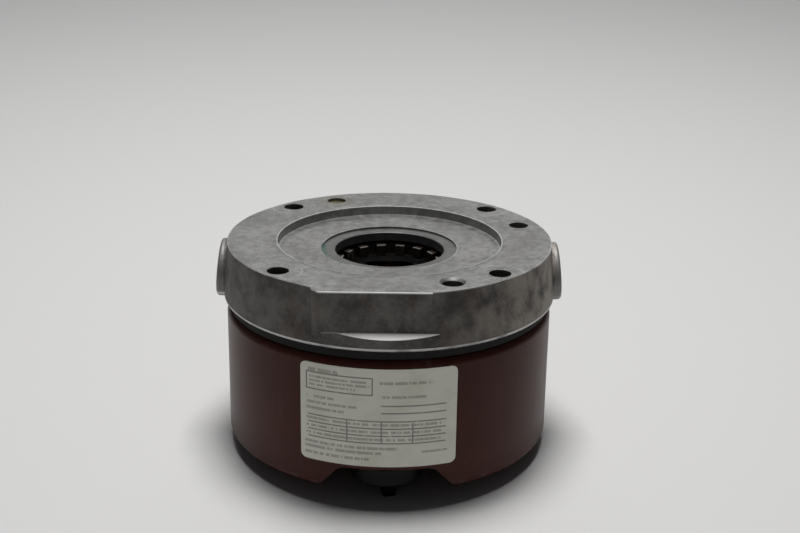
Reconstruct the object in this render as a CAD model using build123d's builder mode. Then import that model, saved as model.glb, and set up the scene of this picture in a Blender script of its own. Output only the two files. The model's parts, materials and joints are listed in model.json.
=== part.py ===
from build123d import *
import math
import os

# Spring-set, solenoid-released disc brake for a C-face motor.
# Origin: centre of the motor mounting face. +Z points out of that face, towards the motor.

# ---- driving dimensions, mm ----
face_radius = 82.5
lip_radius = 84.6
ledge_z = -22.0
lip_z = -28.0
lip_edge = 0.6
flat_y = -81.0
flat_half_width = 45.0
flat_end_z = -20.0
pad_left = -36.0
pad_right = 20.0
pad_corner = 5.5
pad_depth = 12.0

rabbet_radius = 57.15
rabbet_depth = 4.83
rabbet_lead_width = 2.5
rabbet_lead_depth = 0.4
shoulder_radius = 34.4
shoulder_depth = 1.1
hub_bore_radius = 27.8
hub_bore_chamfer = 0.3
web_z = -10.5
cavity_radius = 67.0

bolt_circle = 149.225
bolt_hole_radius = 5.35
bolt_seat_radius = 7.8
bolt_seat_z = -14.0

stud_circle_radius = 72.0
stud_angle = 19.5
screw_angle = 114.4
face_hole_radius = 5.1
countersink = 1.2
stud_radius = 5.0
stud_neck_radius = 4.0
stud_neck_length = 8.0
stud_end_z = -3.5
blind_stud_end_z = -10.0
blind_hole_depth = 2.0
screw_end_z = -1.4
short_screw_end_z = -16.0
end_chamfer = 0.6

boss_radius = 14.8
boss_face_x = 87.25
boss_lean = 5.2
boss_depth = 6.0
boss_z = -16.5
boss_round = 1.5
conduit_radius = 10.4
plug_fit = 0.2
plug_face_x = 85.0
plug_root_x = 71.0
plug_socket = 9.5
plug_socket_depth = 7.0

spigot_outer = 79.3
spigot_inner = 74.5
spigot_z = -36.0
spigot_notch_radius = 8.6
gasket_inner = 79.5
gasket_outer = 81.8
gasket_z = -33.0

housing_radius = 83.2
housing_wall = 1.5
housing_shoulder = 4.0
housing_end_z = -101.5
housing_corner = 3.5
housing_mouth_radius = 79.6

pocket_floor_z = -89.0
pocket_mouth_radius = 33.5
pocket_taper = 41.0
pocket_reach = 34.0
pocket_floor_round = 7.0
pocket_mouth_round = 9.0

label_left = -41.2
label_right = 32.8
label_top = -37.0
label_bottom = -87.3
label_corner = 3.0
label_gap = 0.05
label_thickness = 0.3

disc_radius = 62.0
lining_inner = 37.0
lining_thickness = 1.8
core_top_z = -12.6
core_thickness = 4.0
disc_gap = 0.3
hub_ring_radius = 34.0
hub_ring_top = -12.2
hub_ring_height = 5.8
spline_teeth = 16
spline_root = 28.6
spline_tip = 24.6
spline_width = 4.6
spline_phase = 10.0

plate_inner = 35.5
plate_thickness = 6.0
plate_edge = 0.8
spring_circle = 50.0
spring_count = 3
spring_pocket_radius = 9.0
spring_pocket_depth = 2.0
spring_coil_radius = 6.6
spring_wire_radius = 1.25
spring_turns = 5.0
spring_gap = 0.1
spring_pin_radius = 4.6
spring_pin_length = 9.0

carrier_z = -43.0
carrier_thickness = 3.0
carrier_radius = 77.5
carrier_window = 26.0

post_radius = 6.0
spacer_radius = 6.8
cap_head_radius = 8.0
cap_head_height = 8.0
cap_socket = 8.0

pivot_y = 58.0
pivot_z = -56.0
pivot_pin_radius = 4.0
pivot_fit = 0.05
pivot_barrel_radius = 7.0
pivot_half_width = 12.0
ear_thickness = 3.5
ear_gap = 0.5
ear_half_length = 8.0
yoke_base = 2.5

lever_thickness = 4.0
lever_wide = 22.0
lever_waist = 17.0
lever_tip = 6.0
lever_end_y = -49.3
lever_nose_y = -52.9

pull_x = 15.0
pull_y = 40.0
pull_radius = 3.0
pull_hole = 5.0
pull_end_z = -68.0
pull_nut_gap = 0.7
pull_nut_flats = 10.0
pull_nut_height = 5.0

coil_y = -2.0
core_half_depth = 9.0
limb_outer = 30.0
limb_inner = 22.0
frame_top_z = -73.0
frame_bottom_z = -98.5
yoke_height = 8.0
pole_half = 7.8
pole_top_z = -88.0
crossbar_half = 29.0
crossbar_top_z = -60.5
crossbar_height = 8.0
plunger_end_z = -83.5
clevis_inner = 7.0
clevis_outer = 10.0
clevis_half_length = 6.0
clevis_top_z = -48.0
link_pin_radius = 2.5
link_pin_half = 13.0
link_pin_z = -51.2
bobbin_half = 8.7
bobbin_wall = 1.1
bobbin_flange = 1.2
bobbin_flange_x = 21.4
bobbin_overhang = 11.0
coil_half_x = 20.4
coil_corner = 6.0
coil_gap = 0.15
bracket_thickness = 2.5
bracket_foot = 11.0

knob_y = -62.5
knob_radius = 18.0
knob_top_z = -90.2
knob_skirt_z = -99.0
knob_face_z = -105.3
knob_face_radius = 5.5
knob_bar_width = 6.4
knob_bar_length = 14.0
knob_bar_z = -110.5
knob_bar_turn = 15.0
shaft_radius = 4.0
shaft_top_z = -40.0
shaft_end_z = -99.0
shaft_fit = 0.06
cam_radius = 12.5
cam_top_z = -48.5
cam_mean_z = -56.5
cam_slope = 25.7
cam_high_angle = 135.0
bushing_radius = 6.5
bushing_flange_radius = 9.5
bushing_flange = 1.5

housing_screw_head = 6.2
housing_screw_height = 2.6
housing_screw_radius = 2.5
housing_screw_length = 11.0
housing_screw_slot = 1.4
bracket_screw_head = 3.6
bracket_screw_height = 2.4
bracket_screw_slot = 1.0
bracket_screw_rows = 10.0

over = 1.0  # how far a cut runs past the face it opens

# ---- derived values ----
floor_z = -rabbet_depth
shoulder_z = floor_z - shoulder_depth
core_bottom_z = core_top_z - core_thickness
lining_front_top = core_top_z + lining_thickness
plate_top_z = core_bottom_z - lining_thickness - disc_gap
plate_bottom_z = plate_top_z - plate_thickness
carrier_bottom_z = carrier_z - carrier_thickness
housing_inner_end = housing_end_z + housing_wall
lever_top_z = pivot_z + lever_thickness / 2
lever_bottom_z = pivot_z - lever_thickness / 2
crossbar_bottom_z = crossbar_top_z - crossbar_height
yoke_top_z = frame_bottom_z + yoke_height
stud_angles = (stud_angle, stud_angle + 180)
screw_angles = (screw_angle, screw_angle + 180)


def on_circle(radius, angle):
    turn = math.radians(angle)
    return (radius * math.cos(turn), radius * math.sin(turn))


stud_spots = [on_circle(stud_circle_radius, a) for a in stud_angles]
screw_spots = [on_circle(stud_circle_radius, a) for a in screw_angles]
pull_spots = [(-pull_x, pull_y), (pull_x, pull_y)]

os.makedirs("parts", exist_ok=True)


def save(piece, name):
    piece.part.label = name
    export_step(piece.part, f"parts/{name}.step")


def round_bar(spots, radius, top, bottom):
    """Plain round bars, one at each spot, from top down to bottom."""
    with BuildPart() as bars:
        with BuildSketch(Plane.XY.offset(bottom)):
            with Locations(*spots):
                Circle(radius)
        extrude(amount=top - bottom)
    return bars


# ---- endplate: drafted casting with the motor rabbet ----
with BuildPart() as endplate:
    with BuildSketch(Plane.XZ) as wall_profile:
        with BuildLine():
            Polyline(
                (0, 0),
                (face_radius, 0),
                (lip_radius, ledge_z),
                (lip_radius, lip_z + lip_edge),
                (lip_radius - lip_edge, lip_z),
                (0, lip_z),
                close=True,
            )
        make_face()
    revolve(axis=Axis.Z)
    # cast pad beside the front flat
    with BuildSketch(Plane.XY.offset(ledge_z)) as pad:
        with Locations(((pad_left + pad_right) / 2, flat_y + pad_depth / 2)):
            Rectangle(pad_right - pad_left, pad_depth)
        fillet(pad.vertices().group_by(Axis.Y)[0].sort_by(Axis.X)[0], radius=pad_corner)
    extrude(amount=-ledge_z)
    # front flat above the lip, running out in a sloped ledge
    ledge_slope = (ledge_z - flat_end_z) / (lip_radius + flat_y)
    cut_y = flat_y - 10
    with BuildSketch(Plane.YZ.offset(-flat_half_width)):
        with BuildLine():
            Polyline(
                (flat_y, over),
                (flat_y, flat_end_z),
                (cut_y, flat_end_z + ledge_slope * (flat_y - cut_y)),
                (cut_y, over),
                close=True,
            )
        make_face()
    extrude(amount=2 * flat_half_width, mode=Mode.SUBTRACT)
    # conduit bosses on both sides, their faces drafted with the wall
    lean = math.radians(boss_lean)
    for side in (-1, 1):
        boss_face = Plane(
            (side * boss_face_x, 0, boss_z),
            x_dir=(0, 1, 0),
            z_dir=(side * math.cos(lean), 0, math.sin(lean)),
        )
        with BuildSketch(boss_face):
            Circle(boss_radius)
        extrude(amount=-boss_depth)
        rims = endplate.edges().filter_by(GeomType.CIRCLE).filter_by(
            lambda edge: abs(edge.radius - boss_radius) < 0.01
        )
        fillet(rims.sort_by(Axis.X)[-1 if side > 0 else 0], radius=boss_round)
    # locating spigot for the housing
    with BuildSketch(Plane.XY.offset(spigot_z)):
        Circle(spigot_outer)
        Circle(spigot_inner, mode=Mode.SUBTRACT)
    extrude(amount=lip_z - spigot_z)
    # rabbet, bore shoulder, hub bore and cavity
    with BuildSketch(Plane.XZ) as bore_profile:
        with BuildLine():
            Polyline(
                (0, over),
                (rabbet_radius + rabbet_lead_width, over),
                (rabbet_radius + rabbet_lead_width, 0),
                (rabbet_radius, -rabbet_lead_depth),
                (rabbet_radius, floor_z),
                (shoulder_radius, floor_z),
                (shoulder_radius, shoulder_z),
                (hub_bore_radius + hub_bore_chamfer, shoulder_z),
                (hub_bore_radius, shoulder_z - hub_bore_chamfer),
                (hub_bore_radius, web_z),
                (cavity_radius, web_z),
                (cavity_radius, spigot_z - over),
                (0, spigot_z - over),
                close=True,
            )
        make_face()
    revolve(axis=Axis.Z, mode=Mode.SUBTRACT)
    # motor bolt holes with head seats cut from behind
    with BuildSketch(Plane.XY.offset(spigot_z - over)):
        with PolarLocations(bolt_circle / 2, 4, start_angle=45):
            Circle(bolt_hole_radius)
    extrude(amount=2 * over - spigot_z, mode=Mode.SUBTRACT)
    with BuildSketch(Plane.XY.offset(spigot_z - over)):
        with PolarLocations(bolt_circle / 2, 4, start_angle=45):
            Circle(bolt_seat_radius)
    extrude(amount=bolt_seat_z - spigot_z + over, mode=Mode.SUBTRACT)
    # stud and screw holes, one of them countersunk and seen from the face
    with BuildSketch(Plane.XY.offset(spigot_z - over)):
        with Locations(*screw_spots, stud_spots[0]):
            Circle(face_hole_radius)
    extrude(amount=2 * over - spigot_z, mode=Mode.SUBTRACT)
    with BuildSketch(Plane.XY.offset(spigot_z - over)):
        with Locations(stud_spots[1]):
            Circle(face_hole_radius)
    extrude(amount=web_z - spigot_z + over + blind_hole_depth, mode=Mode.SUBTRACT)
    with BuildSketch(Plane.XY.offset(spigot_z - over)):
        with Locations(*screw_spots):
            Circle(spigot_notch_radius)
    extrude(amount=lip_z - spigot_z + over, mode=Mode.SUBTRACT)
    with BuildSketch(Plane.XY):
        with Locations(screw_spots[1]):
            Circle(face_hole_radius + countersink)
    extrude(amount=-countersink, taper=45, mode=Mode.SUBTRACT)
    # tapped conduit entries
    for side in (-1, 1):
        with BuildSketch(Plane.YZ.offset(side * (cavity_radius - 3))):
            with Locations((0, boss_z)):
                Circle(conduit_radius)
        extrude(amount=side * (boss_face_x - cavity_radius + boss_depth), mode=Mode.SUBTRACT)
save(endplate, "endplate")

# ---- blanking plugs in the conduit entries ----
with BuildPart() as conduit_plugs:
    for side in (-1, 1):
        with BuildSketch(Plane.YZ.offset(side * plug_root_x)):
            with Locations((0, boss_z)):
                Circle(conduit_radius - plug_fit)
        extrude(amount=side * (plug_face_x - plug_root_x))
        with BuildSketch(Plane.YZ.offset(side * plug_face_x)):
            with Locations((0, boss_z)):
                Rectangle(plug_socket, plug_socket)
        extrude(amount=-side * plug_socket_depth, mode=Mode.SUBTRACT)
save(conduit_plugs, "conduit_plugs")

# ---- gasket between endplate and housing ----
with BuildPart() as housing_gasket:
    with BuildSketch(Plane.XY.offset(gasket_z)):
        Circle(gasket_outer)
        Circle(gasket_inner, mode=Mode.SUBTRACT)
    extrude(amount=lip_z - gasket_z)
    outer_rims = housing_gasket.edges().group_by(SortBy.LENGTH)[-1]
    fillet(outer_rims, radius=0.6)
save(housing_gasket, "housing_gasket")


# ---- housing: drawn steel cup with a finger pocket for the release knob ----
def pocket_outline(inset):
    """Half section of the finger pocket, from the knob axis out to its rounded mouth."""
    end = housing_end_z + inset
    roof = pocket_floor_z + inset
    slope = math.radians(pocket_taper)
    mouth = pocket_mouth_radius + inset / math.cos(slope) - inset * math.tan(slope)
    floor_reach = mouth - (roof - end) * math.tan(slope)
    with BuildSketch() as outline:
        with BuildLine():
            Polyline(
                (0, end - 5),
                (0, roof),
                (floor_reach, roof),
                (mouth, end),
                (mouth + pocket_mouth_round, end),
                (mouth + pocket_mouth_round, end - 5),
                close=True,
            )
        make_face()
        corners = outline.vertices().filter_by_position(Axis.X, floor_reach - 0.1, mouth + 0.1)
        fillet(corners.sort_by(Axis.Y)[-1], radius=pocket_floor_round + inset)
        corners = outline.vertices().filter_by_position(Axis.X, mouth - 0.1, mouth + 0.1)
        fillet(corners.sort_by(Axis.Y)[-1], radius=pocket_mouth_round - inset)
    return outline.sketch


def cup_form(inset):
    """The cup's outer form, or its inner form when inset by the wall thickness."""
    radius = housing_radius - inset
    end = housing_end_z + inset
    arc = housing_shoulder - inset
    corner = housing_corner - inset
    centre_r = housing_radius - housing_shoulder
    centre_z = gasket_z - housing_shoulder
    half_pocket = pocket_outline(inset)
    knob_front = Plane((0, knob_y, 0), x_dir=(1, 0, 0), z_dir=(0, -1, 0))
    with BuildPart() as form:
        with BuildSketch(Plane.XZ):
            with BuildLine():
                Line((0, centre_z + arc), (centre_r, centre_z + arc))
                CenterArc((centre_r, centre_z), arc, 0, 90)
                Line((centre_r + arc, centre_z), (radius, end + corner))
                CenterArc((radius - corner, end + corner), corner, 270, 90)
                Line((radius - corner, end), (0, end))
                Line((0, end), (0, centre_z + arc))
            make_face()
        revolve(axis=Axis.Z)
        with BuildSketch(knob_front):
            add(half_pocket)
            mirror(half_pocket, about=Plane.YZ)
        extrude(amount=pocket_reach, mode=Mode.SUBTRACT)
        with BuildSketch(knob_front):
            add(half_pocket)
        revolve(axis=Axis((0, knob_y, 0), (0, 0, 1)), mode=Mode.SUBTRACT)
    return form


cup_outer = cup_form(0)
cup_inner = cup_form(housing_wall)
with BuildPart() as housing:
    add(cup_outer.part)
    add(cup_inner.part, mode=Mode.SUBTRACT)
    with BuildSketch(Plane.XY.offset(gasket_z - housing_shoulder)):
        Circle(housing_mouth_radius)
    extrude(amount=housing_shoulder + 1, mode=Mode.SUBTRACT)
    with BuildSketch(Plane.XY.offset(housing_end_z - 1)):
        with Locations(*stud_spots):
            Circle(housing_screw_radius + 0.4)
        with Locations((0, knob_y)):
            Circle(bushing_radius + 0.1)
    extrude(amount=16, mode=Mode.SUBTRACT)
save(housing, "housing")

# ---- nameplate: thin sheet wrapped on the housing ----
label_middle_x = (label_left + label_right) / 2
label_middle_z = (label_top + label_bottom) / 2
with BuildPart() as nameplate:
    with BuildSketch(Plane.XY.offset(label_bottom)):
        Circle(housing_radius + label_gap + label_thickness)
        Circle(housing_radius + label_gap, mode=Mode.SUBTRACT)
    extrude(amount=label_top - label_bottom)
    with BuildSketch(Plane.XZ):
        with Locations((label_middle_x, label_middle_z)):
            RectangleRounded(label_right - label_left, label_top - label_bottom, label_corner)
    extrude(amount=housing_radius + 5, mode=Mode.INTERSECT)
save(nameplate, "nameplate")

# ---- friction disc: splined steel core with two bonded linings ----
with BuildPart() as disc_core:
    with BuildSketch(Plane.XY.offset(core_bottom_z)):
        Circle(disc_radius - 0.5)
        Circle(hub_ring_radius, mode=Mode.SUBTRACT)
    extrude(amount=core_thickness)
    with BuildSketch(Plane.XY.offset(hub_ring_top - hub_ring_height)):
        Circle(hub_ring_radius)
        Circle(spline_root, mode=Mode.SUBTRACT)
        with PolarLocations((spline_root + 1 + spline_tip) / 2, spline_teeth, start_angle=spline_phase):
            Rectangle(spline_root + 1 - spline_tip, spline_width)
    extrude(amount=hub_ring_height)
save(disc_core, "disc_core")

for name, top in (("lining_front", lining_front_top), ("lining_rear", core_bottom_z)):
    with BuildPart() as lining:
        with BuildSketch(Plane.XY.offset(top - lining_thickness)):
            Circle(disc_radius)
            Circle(lining_inner, mode=Mode.SUBTRACT)
        extrude(amount=lining_thickness)
    save(lining, name)

# ---- pressure plate with spring pockets and pull studs ----
with BuildPart() as pressure_plate:
    with BuildSketch(Plane.XY.offset(plate_bottom_z)):
        Circle(disc_radius)
        Circle(plate_inner, mode=Mode.SUBTRACT)
        with Locations(*pull_spots):
            Circle(pull_radius + 0.05, mode=Mode.SUBTRACT)
    extrude(amount=plate_thickness)
    chamfer(pressure_plate.edges().filter_by(GeomType.CIRCLE).group_by(SortBy.LENGTH)[-1], plate_edge)
    with BuildSketch(Plane.XY.offset(plate_bottom_z)):
        with PolarLocations(spring_circle, spring_count, start_angle=90):
            Circle(spring_pocket_radius)
    extrude(amount=spring_pocket_depth, mode=Mode.SUBTRACT)
save(pressure_plate, "pressure_plate")

pull_studs = round_bar(pull_spots, pull_radius, plate_top_z - 0.4, pull_end_z)
save(pull_studs, "pull_studs")

with BuildPart() as pull_nuts:
    with BuildSketch(Plane.XY.offset(lever_bottom_z - pull_nut_gap - pull_nut_height)):
        with Locations(*pull_spots):
            RegularPolygon(pull_nut_flats / 2, 6, major_radius=False)
            Circle(pull_radius + 0.05, mode=Mode.SUBTRACT)
    extrude(amount=pull_nut_height)
save(pull_nuts, "pull_nuts")

# ---- torque springs ----
spring_top_z = plate_bottom_z + spring_pocket_depth - spring_gap
spring_bottom_z = carrier_z + spring_gap
spring_rise = spring_top_z - spring_bottom_z - 2 * spring_wire_radius
with BuildPart() as one_spring:
    with BuildLine() as coil_path:
        Helix(
            pitch=spring_rise / spring_turns,
            height=spring_rise,
            radius=spring_coil_radius,
            center=(0, 0, spring_bottom_z + spring_wire_radius),
        )
    with BuildSketch(Plane(coil_path.line @ 0, z_dir=coil_path.line % 0)):
        Circle(spring_wire_radius)
    sweep(is_frenet=True)
with BuildPart() as torque_springs:
    with PolarLocations(spring_circle, spring_count, start_angle=90):
        add(one_spring.part)
save(torque_springs, "torque_springs")

spring_spots = [on_circle(spring_circle, 90 + 120 * i) for i in range(spring_count)]
spring_pins = round_bar(spring_spots, spring_pin_radius, carrier_z + spring_pin_length, carrier_z)
save(spring_pins, "spring_pins")

# ---- carrier plate that holds the mechanism ----
with BuildPart() as carrier_plate:
    with BuildSketch(Plane.XY.offset(carrier_bottom_z)):
        Circle(carrier_radius)
        Circle(carrier_window, mode=Mode.SUBTRACT)
        with Locations(*stud_spots):
            Circle(stud_neck_radius + 0.2, mode=Mode.SUBTRACT)
        with Locations(*screw_spots):
            Circle(stud_radius + 0.2, mode=Mode.SUBTRACT)
        with Locations(*pull_spots):
            Circle(pull_hole, mode=Mode.SUBTRACT)
        with Locations((0, knob_y)):
            Circle(shaft_radius + shaft_fit, mode=Mode.SUBTRACT)
    extrude(amount=carrier_thickness)
save(carrier_plate, "carrier_plate")

# ---- housing studs, their posts and the housing screws ----
with BuildPart() as housing_studs:
    for spot, top in zip(stud_spots, (stud_end_z, blind_stud_end_z)):
        with BuildSketch(Plane.XY.offset(carrier_z)):
            with Locations(spot):
                Circle(stud_radius)
        extrude(amount=top - carrier_z)
        chamfer(housing_studs.edges().group_by(Axis.Z)[-1], end_chamfer)
        with BuildSketch(Plane.XY.offset(carrier_bottom_z - stud_neck_length)):
            with Locations(spot):
                Circle(stud_neck_radius)
        extrude(amount=stud_neck_length + carrier_thickness)
save(housing_studs, "housing_studs")

with BuildPart() as housing_posts:
    with BuildSketch(Plane.XY.offset(housing_inner_end)):
        with Locations(*stud_spots):
            RegularPolygon(post_radius, 6, major_radius=False)
    extrude(amount=carrier_bottom_z - housing_inner_end)
    with BuildSketch(Plane.XY.offset(carrier_bottom_z)):
        with Locations(*stud_spots):
            Circle(stud_neck_radius + 0.05)
    extrude(amount=-stud_neck_length - over, mode=Mode.SUBTRACT)
    with BuildSketch(Plane.XY.offset(housing_inner_end)):
        with Locations(*stud_spots):
            Circle(housing_screw_radius + 0.05)
    extrude(amount=housing_screw_length + over, mode=Mode.SUBTRACT)
save(housing_posts, "housing_posts")

with BuildPart() as housing_screws:
    with BuildSketch(Plane.XY.offset(housing_end_z - housing_screw_height)):
        with Locations(*stud_spots):
            Circle(housing_screw_head)
    extrude(amount=housing_screw_height)
    fillet(housing_screws.edges().group_by(Axis.Z)[0], radius=1.2)
    with BuildSketch(Plane.XY.offset(housing_end_z)):
        with Locations(*stud_spots):
            Circle(housing_screw_radius)
    extrude(amount=housing_screw_length)
    with BuildSketch(Plane.XY.offset(housing_end_z - housing_screw_height)):
        with Locations(*stud_spots):
            Rectangle(2 * housing_screw_head, housing_screw_slot)
    extrude(amount=housing_screw_height / 2, mode=Mode.SUBTRACT)
save(housing_screws, "housing_screws")

# ---- carrier screws and their spacers ----
with BuildPart() as carrier_spacers:
    with BuildSketch(Plane.XY.offset(carrier_z)):
        with Locations(*screw_spots):
            Circle(spacer_radius)
            Circle(stud_radius + 0.1, mode=Mode.SUBTRACT)
    extrude(amount=lip_z - carrier_z)
save(carrier_spacers, "carrier_spacers")

with BuildPart() as carrier_screws:
    for spot, top in zip(screw_spots, (screw_end_z, short_screw_end_z)):
        with BuildSketch(Plane.XY.offset(carrier_bottom_z)):
            with Locations(spot):
                Circle(stud_radius)
        extrude(amount=top - carrier_bottom_z)
        tip = carrier_screws.edges().filter_by_position(Axis.Z, top - 0.1, top + 0.1)
        chamfer(tip, end_chamfer)
    with BuildSketch(Plane.XY.offset(carrier_bottom_z - cap_head_height)):
        with Locations(*screw_spots):
            Circle(cap_head_radius)
    extrude(amount=cap_head_height)
    with BuildSketch(Plane.XY.offset(carrier_bottom_z - cap_head_height)):
        with Locations(*screw_spots):
            RegularPolygon(cap_socket / 2, 6, major_radius=False)
    extrude(amount=4.5, mode=Mode.SUBTRACT)
save(carrier_screws, "carrier_screws")

# ---- lever pivot: yoke, pin and clips ----
ear_inner = pivot_half_width + ear_gap
with BuildPart() as pivot_yoke:
    with BuildSketch(Plane.XY.offset(carrier_bottom_z - yoke_base)):
        with Locations((0, pivot_y)):
            Rectangle(2 * (ear_inner + ear_thickness), 2 * ear_half_length)
    extrude(amount=yoke_base)
    for side in (-1, 1):
        with BuildSketch(Plane.YZ.offset(side * ear_inner)):
            with Locations((pivot_y, pivot_z)):
                Circle(ear_half_length)
            with Locations((pivot_y, (pivot_z + carrier_bottom_z) / 2)):
                Rectangle(2 * ear_half_length, carrier_bottom_z - pivot_z)
            with Locations((pivot_y, pivot_z)):
                Circle(pivot_pin_radius + 0.05, mode=Mode.SUBTRACT)
        extrude(amount=side * ear_thickness)
save(pivot_yoke, "pivot_yoke")

pin_half = ear_inner + ear_thickness + 3
with BuildPart() as pivot_pin:
    with BuildSketch(Plane.YZ.offset(-pin_half)):
        with Locations((pivot_y, pivot_z)):
            Circle(pivot_pin_radius)
    extrude(amount=2 * pin_half)
    for side in (-1, 1):
        with BuildSketch(Plane.YZ.offset(side * (pin_half - 2))):
            with Locations((pivot_y, pivot_z)):
                Circle(pivot_pin_radius + 1)
                Circle(pivot_pin_radius - 0.8, mode=Mode.SUBTRACT)
        extrude(amount=side * 0.9, mode=Mode.SUBTRACT)
save(pivot_pin, "pivot_pin")

with BuildPart() as pin_clips:
    for side in (-1, 1):
        with BuildSketch(Plane.YZ.offset(side * (pin_half - 1.95))):
            with Locations((pivot_y, pivot_z)):
                Circle(pivot_pin_radius + 2.2)
                Circle(pivot_pin_radius - 0.7, mode=Mode.SUBTRACT)
            with Locations((pivot_y, pivot_z + pivot_pin_radius)):
                Rectangle(pivot_pin_radius, 2 * pivot_pin_radius, mode=Mode.SUBTRACT)
        extrude(amount=side * 0.8)
save(pin_clips, "pin_clips")

# ---- lever arm ----
with BuildPart() as lever_arm:
    with BuildSketch(Plane.XY.offset(lever_bottom_z)):
        with BuildLine():
            Polyline(
                (-pivot_half_width, pivot_y),
                (-pivot_half_width, pivot_y - 10),
                (-lever_wide, pivot_y - 12.5),
                (-lever_wide, 30),
                (-lever_waist, 14),
                (-lever_waist, -14),
                (-lever_tip, -36),
                (-lever_tip, lever_end_y),
                (lever_tip, lever_end_y),
                (lever_tip, -36),
                (lever_waist, -14),
                (lever_waist, 14),
                (lever_wide, 30),
                (lever_wide, pivot_y - 12.5),
                (pivot_half_width, pivot_y - 10),
                (pivot_half_width, pivot_y),
                close=True,
            )
        make_face()
    extrude(amount=lever_thickness)
    with BuildSketch(Plane.YZ.offset(-pivot_half_width)):
        with Locations((pivot_y, pivot_z)):
            Circle(pivot_barrel_radius)
    extrude(amount=2 * pivot_half_width)
    with BuildSketch(Plane.XZ.offset(-lever_end_y)):
        with Locations((0, pivot_z)):
            Circle(lever_thickness / 2)
    extrude(amount=lever_end_y - lever_nose_y)
    with BuildSketch(Plane.YZ.offset(-pivot_half_width)):
        with Locations((pivot_y, pivot_z)):
            Circle(pivot_pin_radius + pivot_fit)
    extrude(amount=2 * pivot_half_width, mode=Mode.SUBTRACT)
    with BuildSketch(Plane.XY.offset(lever_bottom_z)):
        with Locations(*pull_spots):
            Circle(pull_hole)
        slot_x = (clevis_inner + clevis_outer) / 2
        with Locations((-slot_x, coil_y), (slot_x, coil_y)):
            Rectangle(clevis_outer - clevis_inner + 2, 2 * clevis_half_length + 4)
    extrude(amount=lever_thickness, mode=Mode.SUBTRACT)
save(lever_arm, "lever_arm")

# ---- solenoid: laminated frame, bobbin, winding and plunger ----
coil_plane = Plane.XZ.offset(-coil_y - core_half_depth)
frame_middle_z = (frame_top_z + frame_bottom_z) / 2
with BuildPart() as solenoid_frame:
    with BuildSketch(coil_plane):
        with Locations((0, frame_middle_z)):
            Rectangle(2 * limb_outer, frame_top_z - frame_bottom_z)
        with Locations((0, (frame_top_z + yoke_top_z) / 2)):
            Rectangle(2 * limb_inner, frame_top_z - yoke_top_z, mode=Mode.SUBTRACT)
        with Locations((0, (pole_top_z + yoke_top_z) / 2)):
            Rectangle(2 * pole_half, pole_top_z - yoke_top_z)
    extrude(amount=2 * core_half_depth)
save(solenoid_frame, "solenoid_frame")

bobbin_top_z = frame_top_z - 1
bobbin_bottom_z = yoke_top_z + 0.2
bobbin_outer = bobbin_half + bobbin_wall
bobbin_depth = core_half_depth + 0.9
with BuildPart() as coil_bobbin:
    with BuildSketch(Plane.XY.offset(bobbin_bottom_z)):
        with Locations((0, coil_y)):
            Rectangle(2 * bobbin_outer, 2 * (bobbin_depth + bobbin_wall))
    extrude(amount=bobbin_top_z - bobbin_bottom_z)
    for base in (bobbin_bottom_z, bobbin_top_z - bobbin_flange):
        with BuildSketch(Plane.XY.offset(base)):
            with Locations((0, coil_y)):
                RectangleRounded(2 * bobbin_flange_x, 2 * (bobbin_depth + bobbin_overhang), 3)
        extrude(amount=bobbin_flange)
    with BuildSketch(Plane.XY.offset(bobbin_bottom_z)):
        with Locations((0, coil_y)):
            Rectangle(2 * bobbin_half, 2 * bobbin_depth)
    extrude(amount=bobbin_top_z - bobbin_bottom_z, mode=Mode.SUBTRACT)
save(coil_bobbin, "coil_bobbin")

winding_low = bobbin_bottom_z + bobbin_flange + coil_gap
winding_high = bobbin_top_z - bobbin_flange - coil_gap
with BuildPart() as coil_winding:
    with BuildSketch(Plane.XY.offset(winding_low)):
        with Locations((0, coil_y)):
            RectangleRounded(2 * coil_half_x, 2 * (bobbin_depth + bobbin_overhang - 1), coil_corner)
            Rectangle(
                2 * (bobbin_outer + coil_gap),
                2 * (bobbin_depth + bobbin_wall + coil_gap),
                mode=Mode.SUBTRACT,
            )
    extrude(amount=winding_high - winding_low)
save(coil_winding, "coil_winding")

with BuildPart() as plunger:
    with BuildSketch(coil_plane):
        with Locations((0, (crossbar_top_z + crossbar_bottom_z) / 2)):
            Rectangle(2 * crossbar_half, crossbar_height)
        with Locations((0, (crossbar_bottom_z + plunger_end_z) / 2)):
            Rectangle(2 * pole_half, crossbar_bottom_z - plunger_end_z)
    extrude(amount=2 * core_half_depth)
save(plunger, "plunger")

with BuildPart() as plunger_clevis:
    for side in (-1, 1):
        with BuildSketch(Plane.YZ.offset(side * clevis_inner)):
            with Locations((coil_y, (clevis_top_z + crossbar_top_z) / 2)):
                Rectangle(2 * clevis_half_length, clevis_top_z - crossbar_top_z)
            with Locations((coil_y, link_pin_z)):
                Circle(link_pin_radius + 0.05, mode=Mode.SUBTRACT)
        extrude(amount=side * (clevis_outer - clevis_inner))
save(plunger_clevis, "plunger_clevis")

with BuildPart() as link_pin:
    with BuildSketch(Plane.YZ.offset(-link_pin_half)):
        with Locations((coil_y, link_pin_z)):
            Circle(link_pin_radius)
    extrude(amount=2 * link_pin_half)
    chamfer(link_pin.edges().filter_by(GeomType.CIRCLE), 0.5)
save(link_pin, "link_pin")

bracket_inner = limb_outer + 0.2
with BuildPart() as solenoid_brackets:
    for side in (-1, 1):
        with BuildSketch(Plane.YZ.offset(side * bracket_inner)):
            with Locations((coil_y, (carrier_bottom_z + frame_bottom_z + 2) / 2)):
                Rectangle(2 * core_half_depth, carrier_bottom_z - frame_bottom_z - 2)
        extrude(amount=side * bracket_thickness)
        with BuildSketch(Plane.XY.offset(carrier_bottom_z - bracket_thickness)):
            with Locations((side * (bracket_inner + bracket_foot / 2), coil_y)):
                Rectangle(bracket_foot, 2 * core_half_depth)
        extrude(amount=bracket_thickness)
save(solenoid_brackets, "solenoid_brackets")

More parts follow.
